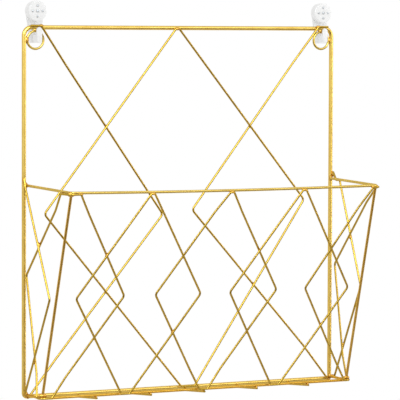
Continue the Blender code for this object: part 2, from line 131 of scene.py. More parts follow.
def made_by(tree, name, guide, sizes):
    """Runs a tree on a guide mesh and returns its result as a plain mesh object at the origin."""
    piece = bpy.data.objects.new(name, guide)
    bpy.context.scene.collection.objects.link(piece)
    maker = piece.modifiers.new("maker", "NODES")
    maker.node_group = tree
    for socket in tree.interface.items_tree:
        if socket.in_out == "INPUT" and socket.name in sizes:
            maker[socket.identifier] = sizes[socket.name]
    bpy.context.view_layer.update()
    made = piece.evaluated_get(bpy.context.evaluated_depsgraph_get())
    plain = bpy.data.meshes.new_from_object(made)
    piece.modifiers.remove(maker)
    piece.data = plain
    bpy.data.meshes.remove(guide)
    return piece


wire_tree, given, result = new_tree(
    "bent_wire",
    [
        ("Diameter", "NodeSocketFloat"),
        ("Sides", "NodeSocketInt"),
        ("Bend Steps", "NodeSocketInt"),
        ("Finish", "NodeSocketMaterial"),
    ],
)
nodes, links = wire_tree.nodes, wire_tree.links
to_path = nodes.new("GeometryNodeMeshToCurve")
bend_radius = nodes.new("GeometryNodeInputNamedAttribute")
bend_radius.data_type = "FLOAT"
bend_radius.inputs["Name"].default_value = "bend"
bending = nodes.new("GeometryNodeFilletCurve")
bending.mode = "POLY"
half = nodes.new("ShaderNodeMath")
half.operation = "MULTIPLY"
half.inputs[1].default_value = 0.5
section = nodes.new("GeometryNodeCurvePrimitiveCircle")
drawing = nodes.new("GeometryNodeCurveToMesh")
drawing.inputs["Fill Caps"].default_value = True
links.new(given.outputs["Geometry"], to_path.inputs["Mesh"])
links.new(to_path.outputs["Curve"], bending.inputs["Curve"])
links.new(given.outputs["Bend Steps"], bending.inputs["Count"])
links.new(bend_radius.outputs["Attribute"], bending.inputs["Radius"])
links.new(given.outputs["Diameter"], half.inputs[0])
links.new(given.outputs["Sides"], section.inputs["Resolution"])
links.new(half.outputs["Value"], section.inputs["Radius"])
links.new(bending.outputs["Curve"], drawing.inputs["Curve"])
links.new(section.outputs["Curve"], drawing.inputs["Profile Curve"])
finish_tree(wire_tree, drawing.outputs["Mesh"], given, result)


def bend_wire(node, corners, bends, stock, closed=False):
    """Bends stock wire through corners on the rack, each with its own bend radius, in place of a node."""
    count = len(corners)
    pairs = [(i, (i + 1) % count) for i in range(count if closed else count - 1)]
    guide = bpy.data.meshes.new(f"{node}_path")
    guide.from_pydata([rack_top + Vector(corner) for corner in corners], pairs, [])
    guide.attributes.new("bend", "FLOAT", "POINT").data.foreach_set("value", bends)
    piece = made_by(wire_tree, f"{node}_wire", guide, {**stock, "Bend Steps": bend_steps})
    # The gold throws no yellow light on the white hooks
    piece.visible_diffuse = False
    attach(piece, "rack")
    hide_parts(node)


frame_stock = {"Diameter": frame_wire, "Sides": 20, "Finish": frame_gold}
bend_wire(
    "back_frame",
    [
        (-frame_half, 0, 0),
        (frame_half, 0, 0),
        (frame_half, 0, -frame_height),
        (-frame_half, 0, -frame_height),
    ],
    [frame_top_bend, frame_top_bend, frame_foot_bend, frame_foot_bend],
    frame_stock,
    closed=True,
)


# Back lattice
# A closed diamond of thin wire and a half diamond at each side, spot-welded to the front of the frame.
# The halves pass behind the middle one where they cross it, and are welded there too.

lattice_wire = 0.0020
# The lattice's gold is painted deeper than the frame's, as painted shade on the thin wires
lattice_gold_painted_shade = gold_lacquer(
    "gold_plated_lattice_wire_painted_shade", (0.44, 0.285, 0.04), (0.395, 0.245, 0.028), *wire_gloss
)
lattice_stock = {"Diameter": lattice_wire, "Sides": 12, "Finish": lattice_gold_painted_shade}

# Welded wires stand a gap apart, which a nugget fills
weld_gap = 0.0003
weld_reach = lattice_wire / 2 + weld_gap / 2
frame_seat = frame_wire / 2 + weld_gap + lattice_wire / 2
weave_step = lattice_wire + weld_gap
weave_start = 0.2
tight_bend = 0.002
vertex_bend = 0.004
flat_drop = 0.0008
apex_flat = 0.0035

# The middle diamond has its apex left of the middle and its foot right of it, and is tilted a little
back_shift = -0.0062
back_foot_shift = 0.006
back_foot_flat = 0.014
back_vertex_drop = 0.1682
back_tilt = 0.0036
back_margin = 0.0254
back_reach = frame_half - back_margin

# The half diamonds run flat on the top bar first, and the lower leg of the right one bows out
half_shift = -0.0046
half_clearance = 0.0157
half_vertex_drop = 0.1735
half_tilt = 0.0017
half_flat_start = 0.0055
half_flat_end = 0.016
half_foot_start = 0.0038
half_bow = {"left": 0.0, "right": 0.0035}
half_lift = 0.0016

both_sides = ((-1, "left"), (1, "right"))
to_wall = Vector((0, 1, 0))
along_x = Vector((1, 0, 0))
upward = Vector((0, 0, 1))

# Each spot weld: its place between two wires, the run of the upper wire, the way to the lower one,
# and its size, which is 1 where two thin wires cross
welds = []
weld_offset = 0.0004
weld_setback = 0.002
flat_weld = 1.2


def weld(place, run, toward, size=1.0):
    """Notes a spot weld, a little way out of its gap towards the upper wire."""
    toward = Vector(toward).normalized()
    welds.append((rack_top + Vector(place) - toward * weld_offset, Vector(run).normalized(), toward, size))


def crossing(a, b, c, d):
    """Where the leg from a to b crosses the leg from c to d, both flat in two coordinates."""
    ab = (b[0] - a[0], b[1] - a[1])
    cd = (d[0] - c[0], d[1] - c[1])
    ac = (c[0] - a[0], c[1] - a[1])
    share = (ac[0] * cd[1] - ac[1] * cd[0]) / (ab[0] * cd[1] - ab[1] * cd[0])
    return a[0] + ab[0] * share, a[1] + ab[1] * share


def behind(first, vertex, last, step):
    """Two legs and their vertex, taken in behind the wires that they pass under."""
    entry = first.lerp(vertex, weave_start) + step
    leave = last.lerp(vertex, weave_start) + step
    return [first, entry, vertex + step, leave, last]


back_foot = -frame_height + flat_drop
back_apex = [Vector((back_shift + end * apex_flat / 2, -frame_seat, -flat_drop)) for end in (-1, 1)]
back_feet = [Vector((back_foot_shift + end * back_foot_flat / 2, -frame_seat, back_foot)) for end in (-1, 1)]
back_sides = []
for end in (-1, 1):
    vertex_z = -back_vertex_drop + end * back_tilt
    back_sides.append(Vector((back_shift + end * back_reach, -frame_seat, vertex_z)))
bend_wire(
    "back_diamond",
    [back_apex[0], back_apex[1], back_sides[1], back_feet[1], back_feet[0], back_sides[0]],
    [tight_bend, tight_bend, vertex_bend, tight_bend, tight_bend, vertex_bend],
    lattice_stock,
    closed=True,
)
contact = to_wall * weld_reach
weld(back_apex[0].lerp(back_apex[1], 0.5) + contact, along_x, to_wall, flat_weld)
for foot in back_feet:
    weld(foot + contact, along_x, to_wall)

back_step = to_wall * weave_step
for side, label in both_sides:
    end = (side + 1) // 2
    start = Vector((side * (frame_half - half_flat_start), -frame_seat, half_lift))
    bend = Vector((side * (frame_half - half_flat_end), -frame_seat, half_lift))
    vertex = Vector((half_shift + side * half_clearance, -frame_seat, -half_vertex_drop + side * half_tilt))
    foot = Vector((side * (frame_half - half_foot_start), -frame_seat, -frame_height))
    corners = [start, *behind(bend, vertex, foot, back_step)]
    corners[4].x += half_bow[label]
    bends = [0, tight_bend, 0, vertex_bend, 0, 0]
    bend_wire(f"back_half_diamond_{label}", corners, bends, lattice_stock)
    weld(start + contact - along_x * (side * weld_setback), along_x, to_wall)
    weld(bend + contact, along_x, to_wall)
    weld(foot + contact, foot - vertex, to_wall, flat_weld)
    for near, far in ((corners[2], back_apex[end]), (corners[4], back_feet[end])):
        legs = [(point.x, point.z) for point in (near, vertex, far, back_sides[end])]
        x, z = crossing(*legs)
        weld((x, -frame_seat + weave_step / 2, z), back_sides[end] - far, to_wall)


# Basket: rim, base wire, corner posts and floor wires
# Two wires bent to a U, welded to the front of the frame's uprights, make the mouth and the floor's edge.
# A post stands in each front corner, and five straight wires close the floor from below.

basket_wire = 0.0026
basket_sides = 16
basket_seat = basket_wire / 2 + weld_gap + lattice_wire / 2
rim_inset = 0.0036
rim_half = frame_half - rim_inset
rim_depth = 0.0915
rim_rear_z = -0.1449
rim_sag = 0.0027
rim_bow = 0.0013
rim_front_z = rim_rear_z - rim_sag
rim_bend = 0.003
base_inset = 0.0012
base_half = frame_half - base_inset
base_depth = 0.036
base_rise = 0.002
base_z = -frame_height + base_rise
base_bend = 0.003
arm_rear = frame_wire / 2 + weld_gap
arm_weld = 1.3
post_weld = 1.5

# The rim's gold is painted duller than the frame's, the posts' warmer, and the base wire's warmer and
# deeper: painted shade, as all the wires are plated alike
rim_gold_painted_shade = gold_lacquer("gold_plated_rim_wire_painted_shade", (0.585, 0.425, 0.11), (0.52, 0.365, 0.08), *wire_gloss)
post_gold_painted_shade = gold_lacquer("gold_plated_post_wire_painted_shade", (0.68, 0.42, 0.085), (0.61, 0.36, 0.06), *wire_gloss)
base_gold_painted_shade = gold_lacquer("gold_plated_base_wire_painted_shade", (0.60, 0.34, 0.045), (0.53, 0.29, 0.032), *wire_gloss)
rim_stock = {"Diameter": basket_wire, "Sides": basket_sides, "Finish": rim_gold_painted_shade}
post_stock = {"Diameter": basket_wire, "Sides": basket_sides, "Finish": post_gold_painted_shade}
base_stock = {"Diameter": basket_wire, "Sides": basket_sides, "Finish": base_gold_painted_shade}


def front_point(x, drop, outward):
    """A point on the leaning front: drop runs from 0 at the rim to 1 at the base wire."""
    rim = Vector((x, -rim_depth, rim_front_z))
    base = Vector((x, -base_depth, base_z))
    slope = (base - rim).normalized()
    return rim.lerp(base, drop) + Vector((0, slope.z, -slope.y)) * outward


def bow_at(x):
    """How far the front of the rim sags from the line between its corners, as a share of the panel."""
    return rim_bow / front_run * (1 - (x / rim_half) ** 2)


front_run = (front_point(0, 1, 0) - front_point(0, 0, 0)).length
rim_steps = 16
rim_places = [rim_half * (2 * step / rim_steps - 1) for step in range(rim_steps + 1)]
bend_wire(
    "basket_rim",
    [
        (-base_half, -arm_rear, rim_rear_z),
        *(front_point(x, bow_at(x), 0) for x in rim_places),
        (base_half, -arm_rear, rim_rear_z),
    ],
    [0, rim_bend, *[0] * (rim_steps - 1), rim_bend, 0],
    rim_stock,
)
bend_wire(
    "basket_base_wire",
    [
        (-base_half, -arm_rear, base_z),
        (-base_half, -base_depth, base_z),
        (base_half, -base_depth, base_z),
        (base_half, -arm_rear, base_z),
    ],
    [0, base_bend, base_bend, 0],
    base_stock,
)

# The middle of a square bend lies this share of its radius inside each leg of its corner
bend_inset = 1 - math.sqrt(0.5)
rim_corner = rim_bend * bend_inset
base_corner = base_bend * bend_inset
for side, label in both_sides:
    for arm_z in (rim_rear_z, base_z):
        weld((side * base_half, -arm_rear + weld_gap / 2, arm_z), upward, to_wall, arm_weld)
    top = Vector((side * (rim_half - rim_corner), -rim_depth + rim_corner, rim_front_z))
    foot = Vector((side * (base_half - base_corner), -base_depth + base_corner, base_z))
    run = foot - top
    lean = run.angle(-upward)
    seat = (basket_wire / 2 + weld_gap) / math.cos(lean) + basket_wire / 2 * math.tan(lean)
    run.normalize()
    bend_wire(f"corner_post_{label}", [top + run * seat, foot - run * seat], [0, 0], post_stock)
    weld(top + run * (seat - weld_gap), along_x, run, post_weld)
    weld(foot - run * (seat - weld_gap), along_x, run, post_weld)

floor_count = 5
floor_margin = 0.051
floor_pitch = (2 * frame_half - 2 * floor_margin) / (floor_count - 1)
floor_shift = 0.005
floor_overhang = 0.0012
for index in range(floor_count):
    x = floor_shift + (index - (floor_count - 1) / 2) * floor_pitch
    rear = Vector((x, 0, -frame_height - frame_seat))
    front = Vector((x, -base_depth, base_z - basket_seat))
    run = (front - rear).normalized()
    bend_wire(
        f"floor_wire_{index + 1}",
        [rear - run * (frame_wire / 2), front + run * (basket_wire / 2 + floor_overhang)],
        [0, 0],
        lattice_stock,
    )
    for place in (rear, front):
        weld(place + upward * weld_reach, run, upward)


# Front and side lattice
# Closed diamonds of the same thin wire lie on the outside of the rim, the posts and the base wire.
# The two at the corners are folded round the posts, and a half diamond closes each side at the rear.
# The middle diamond and the folded ones pass behind their neighbours where they cross.

front_bays = 4
front_overlap = 0.024
front_shift = {"left": 0.0016, "centre": 0.0035, "right": 0.0003}
front_vertex_sag = 0.0018
corner_overlap = 0.0258
corner_shift = 0.003
side_clearance = 0.0073
side_drift = 0.0037
side_vertex_rise = 0.014
foot_flat = 0.0085
rear_flat_start = 0.009
rear_tail_rise = 0.007
rear_vertex_drop = 0.0035
apex_weld = 1.3

# The left corner is folded with longer flats than the right one: on the front, on the side and at the foot.
# Its rear half diamond leaves the upright at once, where the right one first runs along the rim's arm.
corner_folds = {"left": (0.009, 0.015, 0.009), "right": (0.005, 0.005, 0.005)}
side_fold_foot = 0.005
rear_ends = {"left": (0.0055, 0.0055), "right": (0.016, 0.008)}
front_pitch = 2 * rim_half / front_bays
front_reach = front_pitch / 2 + front_overlap
middle_half = (rim_half + base_half) / 2


def side_point(side, depth, drop, outward):
    """A point on a side, which widens a little towards the base and towards the upright."""
    rim_x = base_half + (rim_half - base_half) * depth / rim_depth
    x = rim_x + (base_half - rim_x) * drop + outward
    rim_z = rim_rear_z - rim_sag * depth / rim_depth
    return Vector((side * x, -depth, rim_z + (base_z - rim_z) * drop))


front_top, front_foot = flat_drop / front_run, 1 - flat_drop / front_run
front_middle = 0.5 + front_vertex_sag / front_run
front_in = front_point(0, 0, -1) - front_point(0, 0, 0)
front_contact = front_in * weld_reach
front_step = front_in * weave_step
front_legs = {}
for index, label in enumerate(("left", "centre", "right")):
    hidden = label == "centre"
    x = front_shift[label] + (index - 1) * front_pitch
    apex_drop = front_top + bow_at(x)
    apex = [front_point(x + end * apex_flat / 2, apex_drop, basket_seat) for end in (-1, 1)]
    feet = [front_point(x + end * foot_flat / 2, front_foot, basket_seat) for end in (-1, 1)]
    vertices = [front_point(x + end * front_reach, front_middle, basket_seat) for end in (-1, 1)]
    corners, bends = [], []
    for end in (1, 0):
        legs = [apex[end], vertices[end], feet[end]]
        radii = [tight_bend, vertex_bend, tight_bend]
        if hidden:
            legs = behind(*legs, front_step)
            radii = [tight_bend, 0, vertex_bend, 0, tight_bend]
        corners += legs if end else reversed(legs)
        bends += radii
        sign = 2 * end - 1
        vertex = (x + sign * front_reach, front_middle)
        front_legs[label, end, "upper"] = ((x + sign * apex_flat / 2, apex_drop), vertex)
        front_legs[label, end, "lower"] = ((x + sign * foot_flat / 2, front_foot), vertex)
    bend_wire(f"front_diamond_{label}", corners, bends, lattice_stock, closed=True)
    weld(apex[0].lerp(apex[1], 0.5) + front_contact, along_x, front_in, apex_weld)
    for foot in feet:
        weld(foot + front_contact, along_x, front_in)


def front_weld(upper_leg, lower_leg):
    """Welds two legs of the front where the upper one crosses the lower one."""
    (x0, drop0), (x1, drop1) = upper_leg
    x, drop = crossing(*upper_leg, *lower_leg)
    run = front_point(x1, drop1, 0) - front_point(x0, drop0, 0)
    weld(front_point(x, drop, basket_seat - weave_step / 2), run, front_in)


side_run = (side_point(1, 0, 1, 0) - side_point(1, 0, 0, 0)).length
side_top, side_foot = flat_drop / side_run, 1 - flat_drop / side_run
rear_reach = rim_depth + (base_depth - rim_depth) * 0.5 - side_clearance
corner_reach = front_pitch / 2 + corner_overlap
for side, label in both_sides:
    side_in = Vector((-side, 0, 0))
    side_contact = side_in * weld_reach
    fold_front, fold_side, fold_foot = corner_folds[label]
    front_a = front_point(side * (rim_half - fold_front), front_top, basket_seat)
    front_b = front_point(side * (base_half - fold_foot), front_foot, basket_seat)
    vertex_x = side * (middle_half - corner_reach) + corner_shift
    front_vertex = front_point(vertex_x, front_middle, basket_seat)
    side_a = side_point(side, rim_depth - fold_side, front_top, basket_seat)
    side_b = side_point(side, base_depth - side_fold_foot, front_foot, basket_seat)
    side_a.z, side_b.z = front_a.z, front_b.z
    side_vertex = side_point(side, side_clearance + side * side_drift, 0.5, basket_seat)
    side_vertex.z += side_vertex_rise
    radii = [tight_bend, 0, vertex_bend, 0, tight_bend]
    bend_wire(
        f"corner_diamond_{label}",
        [
            *behind(front_a, front_vertex, front_b, front_step),
            (side_b.x, front_b.y, front_b.z),
            *behind(side_b, side_vertex, side_a, side_in * weave_step),
            (side_a.x, front_a.y, front_a.z),
        ],
        [*radii, base_bend + basket_seat, *radii, rim_bend + basket_seat],
        lattice_stock,
        closed=True,
    )
    for point in (front_a, front_b):
        weld(point + front_contact, along_x, front_in)
    for point in (side_a, side_b):
        weld(point + side_contact, to_wall, side_in)
    end = (side + 1) // 2
    front_weld(front_legs[label, end, "upper"], ((front_a.x, front_top), (vertex_x, front_middle)))
    front_weld(front_legs[label, end, "lower"], ((front_b.x, front_foot), (vertex_x, front_middle)))

    flat_end, foot_end = rear_ends[label]
    tail_top = side_point(side, frame_seat, side_top, basket_seat) + upward * rear_tail_rise
    upper = side_point(side, flat_end, side_top, basket_seat)
    vertex = side_point(side, rear_reach, 0.5, basket_seat) - upward * rear_vertex_drop
    lower = side_point(side, foot_end, side_foot, basket_seat)
    tail_foot = side_point(side, frame_seat, side_foot, basket_seat)
    corners = [tail_top, upper, vertex, lower, tail_foot]
    bends = [0, tight_bend, vertex_bend, tight_bend, 0]
    if flat_end > rear_flat_start:
        corners.insert(1, side_point(side, rear_flat_start, side_top, basket_seat))
        bends.insert(1, tight_bend)
        weld(corners[1].lerp(upper, 0.5) + side_contact, to_wall, side_in, flat_weld)
    bend_wire(f"side_half_diamond_{label}", corners, bends, lattice_stock)
    weld(tail_top + contact - upward * weld_setback, upward, to_wall, flat_weld)
    weld(lower.lerp(tail_foot, 0.5) + side_contact, to_wall, side_in, flat_weld)
    for own, other in ((upper, side_a), (lower, side_b)):
        depth, z = crossing(*((-point.y, point.z) for point in (own, vertex, other, side_vertex)))
        x = own.x + (vertex.x - own.x) * (z - own.z) / (vertex.z - own.z)
        weld(Vector((x, -depth, z)) + side_in * (weave_step / 2), vertex - own, side_in)

for part in ("upper", "lower"):
    front_weld(front_legs["left", 1, part], front_legs["centre", 0, part])
    front_weld(front_legs["right", 0, part], front_legs["centre", 1, part])


# Hanging rings
# A closed ring of wire nests in each upper corner of the frame, welded to the bar and to the upright.
# The rack hangs on its hooks by these two rings.

ring_low, ring_high = (Vector(corner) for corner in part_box("hanging_ring_left"))
ring_wire = ring_high.y - ring_low.y
ring_radius = (ring_high.x - ring_low.x - ring_wire) / 2
ring_drop = frame_wire / 2 + weld_gap + ring_radius + ring_wire / 2
ring_points = 56
ring_weld = 1.4
ring_stock = {"Diameter": ring_wire, "Sides": basket_sides, "Finish": rim_gold_painted_shade}
for side, label in both_sides:
    centre = Vector((side * (frame_half - ring_drop), 0, -ring_drop))
    circle = []
    for step in range(ring_points):
        angle = 2 * math.pi * step / ring_points
        circle.append(centre + Vector((math.sin(angle), 0, math.cos(angle))) * ring_radius)
    bend_wire(f"hanging_ring_{label}", circle, [0] * ring_points, ring_stock, closed=True)
    weld((centre.x, 0, -frame_wire / 2 - weld_gap / 2), along_x, upward, ring_weld)
    upright_face = side * (frame_half - frame_wire / 2 - weld_gap / 2)
    weld((upright_face, 0, centre.z), upward, along_x * side, ring_weld)


# Spot welds
# Where two wires touch, the weld leaves a small squeezed-out nugget between them.
# It is plated over with the wires and a little duller; its darker tone, between the frame's and the
# lattice's, is painted shade where the wires meet.

weld_length = 0.0024
weld_width = 0.0012
weld_depth = 0.0016
weld_spread = (0.85, 1.15)
weld_seed = 7
nugget_segments = 14
nugget_rings = 9
weld_gloss = (0.35, 0.45)
# The nuggets' darker gold is painted shade in the gap between welded wires
weld_gold_painted_shade = gold_lacquer("gold_plated_weld_painted_shade", (0.58, 0.325, 0.06), (0.48, 0.25, 0.04), *weld_gloss)

weld_tree, given, result = new_tree(
    "weld_nuggets",
    [
        ("Length", "NodeSocketFloat"),
        ("Width", "NodeSocketFloat"),
        ("Depth", "NodeSocketFloat"),
        ("Seed", "NodeSocketInt"),
        ("Finish", "NodeSocketMaterial"),
    ],
)
nodes, links = weld_tree.nodes, weld_tree.links
bead = nodes.new("GeometryNodeMeshUVSphere")
bead.inputs["Segments"].default_value = nugget_segments
bead.inputs["Rings"].default_value = nugget_rings
bead.inputs["Radius"].default_value = 1.0
shape = nodes.new("ShaderNodeCombineXYZ")
links.new(given.outputs["Length"], shape.inputs["X"])
links.new(given.outputs["Width"], shape.inputs["Y"])
links.new(given.outputs["Depth"], shape.inputs["Z"])
spread = nodes.new("FunctionNodeRandomValue")
spread.data_type = "FLOAT"
spread.inputs[2].default_value = weld_spread[0]
spread.inputs[3].default_value = weld_spread[1]
links.new(given.outputs["Seed"], spread.inputs["Seed"])
reads = {}
for word, kind in (("run", "FLOAT_VECTOR"), ("toward", "FLOAT_VECTOR"), ("size", "FLOAT")):
    reads[word] = nodes.new("GeometryNodeInputNamedAttribute")
    reads[word].data_type = kind
    reads[word].inputs["Name"].default_value = word
lay = nodes.new("FunctionNodeAlignRotationToVector")
lay.axis = "X"
turn = nodes.new("FunctionNodeAlignRotationToVector")
turn.axis = "Z"
turn.pivot_axis = "X"
links.new(reads["run"].outputs["Attribute"], lay.inputs["Vector"])
links.new(lay.outputs["Rotation"], turn.inputs["Rotation"])
links.new(reads["toward"].outputs["Attribute"], turn.inputs["Vector"])
grow = nodes.new("ShaderNodeMath")
grow.operation = "MULTIPLY"
links.new(spread.outputs[1], grow.inputs[0])
links.new(reads["size"].outputs["Attribute"], grow.inputs[1])
scaled = nodes.new("ShaderNodeVectorMath")
scaled.operation = "SCALE"
links.new(shape.outputs["Vector"], scaled.inputs[0])
links.new(grow.outputs["Value"], scaled.inputs["Scale"])
placing = nodes.new("GeometryNodeInstanceOnPoints")
links.new(given.outputs["Geometry"], placing.inputs["Points"])
links.new(bead.outputs["Mesh"], placing.inputs["Instance"])
links.new(turn.outputs["Rotation"], placing.inputs["Rotation"])
links.new(scaled.outputs["Vector"], placing.inputs["Scale"])
finish_tree(weld_tree, placing.outputs["Instances"], given, result)

guide = bpy.data.meshes.new("weld_places")
guide.from_pydata([place for place, run, toward, size in welds], [], [])
for word, column in (("run", 1), ("toward", 2)):
    flat = [value for item in welds for value in item[column]]
    guide.attributes.new(word, "FLOAT_VECTOR", "POINT").data.foreach_set("vector", flat)
guide.attributes.new("size", "FLOAT", "POINT").data.foreach_set("value", [item[3] for item in welds])
nuggets = made_by(
    weld_tree,
    "weld_nuggets",
    guide,
    {
        "Length": weld_length,
        "Width": weld_width,
        "Depth": weld_depth,
        "Seed": weld_seed,
        "Finish": weld_gold_painted_shade,
    },
)
nuggets.visible_diffuse = False
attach(nuggets, "rack")


# Nail-on hooks
# Each hook is one moulding in glossy white plastic: a round boss, a plate that narrows below it,
# and a fin with an upturned nose that the ring drops behind. Five holes take its pins.

hook_low, hook_high = (Vector(corner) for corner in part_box("hook_left"))
hook_x = {}
for label in ("left", "right"):
    hook_x[label] = sum(corner[0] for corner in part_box(f"hook_{label}")) / 2
boss_radius = (hook_high.x - hook_low.x) / 2
boss_depth = 0.0075
boss_round = 0.0011
plate_depth = 0.0015
plate_foot = 0.0100
fin_width = 0.0054
fin_height = 0.0078
nose_depth = 0.0020
nose_rise = 0.0069
toe_round = 0.0012
edge_round = 0.0004
shoulder_inset = 0.0002
pin_pitch = 0.0050
pin_hole = 0.0018
fin_foot = hook_low.z
notch_z = fin_foot + fin_height
nose_front = hook_low.y
nose_rear = nose_front + nose_depth
merge_distance = 0.000001
sharp_angle = math.radians(40)

# How many steps make up each rounded shape
boss_steps = 64
hole_steps = 20
quarter_steps = 6
tip_steps = 8
bevel_steps = 3
fin_steps = 20


def white_moulding():
    """Glossy white plastic: a faint mottle in tone and gloss, and the soft ripple that a mould leaves."""
    material = bpy.data.materials.new("white_moulding")
    material.use_nodes = True
    nodes, links = material.node_tree.nodes, material.node_tree.links
    shader = nodes["Principled BSDF"]
    shader.inputs["Specular IOR Level"].default_value = 0.35
    shader.inputs["Coat Weight"].default_value = 0.08
    shader.inputs["Coat Roughness"].default_value = 0.08
    place = nodes.new("ShaderNodeTexCoord")
    mottle = nodes.new("ShaderNodeTexNoise")
    mottle.inputs["Scale"].default_value = 260.0
    mottle.inputs["Detail"].default_value = 3.0
    tone = nodes.new("ShaderNodeValToRGB")
    tone.color_ramp.elements[0].color = (0.80, 0.80, 0.79, 1.0)
    tone.color_ramp.elements[1].color = (0.86, 0.86, 0.86, 1.0)
    gloss = nodes.new("ShaderNodeMapRange")
    gloss.inputs["To Min"].default_value = 0.22
    gloss.inputs["To Max"].default_value = 0.36
    bump = nodes.new("ShaderNodeBump")
    bump.inputs["Strength"].default_value = 0.06
    bump.inputs["Distance"].default_value = 0.0004
    links.new(place.outputs["Object"], mottle.inputs["Vector"])
    links.new(mottle.outputs["Fac"], tone.inputs["Fac"])
    links.new(tone.outputs["Color"], shader.inputs["Base Color"])
    links.new(mottle.outputs["Fac"], gloss.inputs["Value"])
    links.new(gloss.outputs["Result"], shader.inputs["Roughness"])
    links.new(mottle.outputs["Fac"], bump.inputs["Height"])
    links.new(bump.outputs["Normal"], shader.inputs["Normal"])
    return material


moulding_white = white_moulding()


def as_object(name, mesh):
    """Puts a finished bmesh into the scene as an object."""
    data = bpy.data.meshes.new(name)
    mesh.to_mesh(data)
    mesh.free()
    made = bpy.data.objects.new(name, data)
    bpy.context.scene.collection.objects.link(made)
    return made


def turned(name, profile, steps):
    """A solid turned about the Y axis from its half outline in X and Y."""
    mesh = bmesh.new()
    verts = [mesh.verts.new((x, y, 0)) for x, y in profile]
    edges = [mesh.edges.new(pair) for pair in zip(verts, verts[1:])]
    bmesh.ops.spin(
        mesh,
        geom=verts + edges,
        cent=(0, 0, 0),
        axis=(0, 1, 0),
        angle=2 * math.pi,
        steps=steps,
        use_merge=True,
    )
    bmesh.ops.remove_doubles(mesh, verts=mesh.verts, dist=merge_distance)
    bmesh.ops.recalc_face_normals(mesh, faces=mesh.faces)
    return as_object(name, mesh)


def moulded(name, outline, direction, rounded):
    """A flat outline carried along a direction, its edges rounded."""
    mesh = bmesh.new()
    face = mesh.faces.new([mesh.verts.new(point) for point in outline])
    extruded = bmesh.ops.extrude_face_region(mesh, geom=[face])
    moved = [item for item in extruded["geom"] if isinstance(item, bmesh.types.BMVert)]
    bmesh.ops.translate(mesh, verts=moved, vec=direction)
    bmesh.ops.recalc_face_normals(mesh, faces=mesh.faces)
    bmesh.ops.bevel(
        mesh,
        geom=list(mesh.edges),
        offset=rounded,
        segments=bevel_steps,
        profile=0.5,
        affect="EDGES",
        clamp_overlap=True,
    )
    return as_object(name, mesh)


boss_profile = [(0, 0), (boss_radius, 0)]
for step in range(quarter_steps + 1):
    angle = math.pi / 2 * step / quarter_steps
    edge_x = boss_radius - boss_round * (1 - math.cos(angle))
    edge_y = -boss_depth + boss_round * (1 - math.sin(angle))
    boss_profile.append((edge_x, edge_y))
boss_profile.append((0, -boss_depth))

# The plate leaves the boss a hair inside its edge, so the two run into each other
tilt = math.atan2(boss_radius - plate_foot / 2, -fin_foot)
shoulder_x = boss_radius * math.cos(tilt) - shoulder_inset
shoulder_z = -boss_radius * math.sin(tilt)
plate_outline = [
    (-shoulder_x, 0, shoulder_z),
    (shoulder_x, 0, shoulder_z),
    (plate_foot / 2, 0, fin_foot),
    (-plate_foot / 2, 0, fin_foot),
]


def fin_section(across):
    """The fin's side view at an angle across its width, which rounds its nose and foot as seen in front."""
    x = fin_width / 2 * math.sin(across)
    drop = fin_width / 2 * (1 - math.cos(across))
    flank = max(0.0, abs(x) - fin_width / 2 + edge_round)
    inset = edge_round - math.sqrt(max(0.0, edge_round**2 - flank**2))
    front, rear = nose_front + inset, nose_rear - inset
    tip_round = (rear - front) / 2
    tip_z = notch_z + nose_rise - drop - tip_round
    foot_z = fin_foot + drop
    side = [(-plate_depth / 2, notch_z), (rear, notch_z)]
    for step in range(tip_steps + 1):
        angle = math.pi * step / tip_steps
        side.append(((front + rear) / 2 + tip_round * math.cos(angle), tip_z + tip_round * math.sin(angle)))
    for step in range(quarter_steps + 1):
        angle = math.pi / 2 * step / quarter_steps
        side.append((front + toe_round * (1 - math.cos(angle)), foot_z + toe_round * (1 - math.sin(angle))))
    side.append((-plate_depth / 2, foot_z))
    return [(x, y, z) for y, z in side]


def lofted(name, sections):
    """A solid through a row of outlines that all have the same number of points."""
    mesh = bmesh.new()
    rows = [[mesh.verts.new(point) for point in section] for section in sections]
    count = len(rows[0])
    mesh.faces.new(rows[0])
    mesh.faces.new(rows[-1])
    for near, far in zip(rows, rows[1:]):
        for i in range(count):
            j = (i + 1) % count
            mesh.faces.new((near[i], near[j], far[j], far[i]))
    bmesh.ops.recalc_face_normals(mesh, faces=mesh.faces)
    return as_object(name, mesh)


fin_sections = [fin_section(math.pi * (step / fin_steps - 0.5)) for step in range(fin_steps + 1)]

hook_shape = turned("hook_boss", boss_profile, boss_steps)
hook_tools = [
    moulded("hook_plate", plate_outline, Vector((0, -plate_depth, 0)), edge_round),
    lofted("hook_fin", fin_sections),
]
pin_places = [(0.0, 0.0), (pin_pitch, 0.0), (0.0, pin_pitch), (-pin_pitch, 0.0), (0.0, -pin_pitch)]
drill_rear = boss_depth
drill_front = -2 * boss_depth
drill_profile = [(0, drill_rear), (pin_hole / 2, drill_rear), (pin_hole / 2, drill_front), (0, drill_front)]
for x, z in pin_places:
    drill = turned("hook_drill", drill_profile, hole_steps)
    drill.data.transform(Matrix.Translation((x, 0, z)))
    hook_tools.append(drill)
for tool in hook_tools:
    cut = hook_shape.modifiers.new(tool.name, "BOOLEAN")
    cut.operation = "DIFFERENCE" if tool.name.startswith("hook_drill") else "UNION"
    cut.object = tool
bpy.context.view_layer.update()
hook_solid = hook_shape.evaluated_get(bpy.context.evaluated_depsgraph_get())
hook_mesh = bpy.data.meshes.new_from_object(hook_solid)
for tool in (hook_shape, *hook_tools):
    bpy.data.objects.remove(tool, do_unlink=True)
hook_mesh.materials.clear()
hook_mesh.materials.append(moulding_white)
hook_mesh.shade_smooth()
hook_mesh.set_sharp_from_angle(angle=sharp_angle)
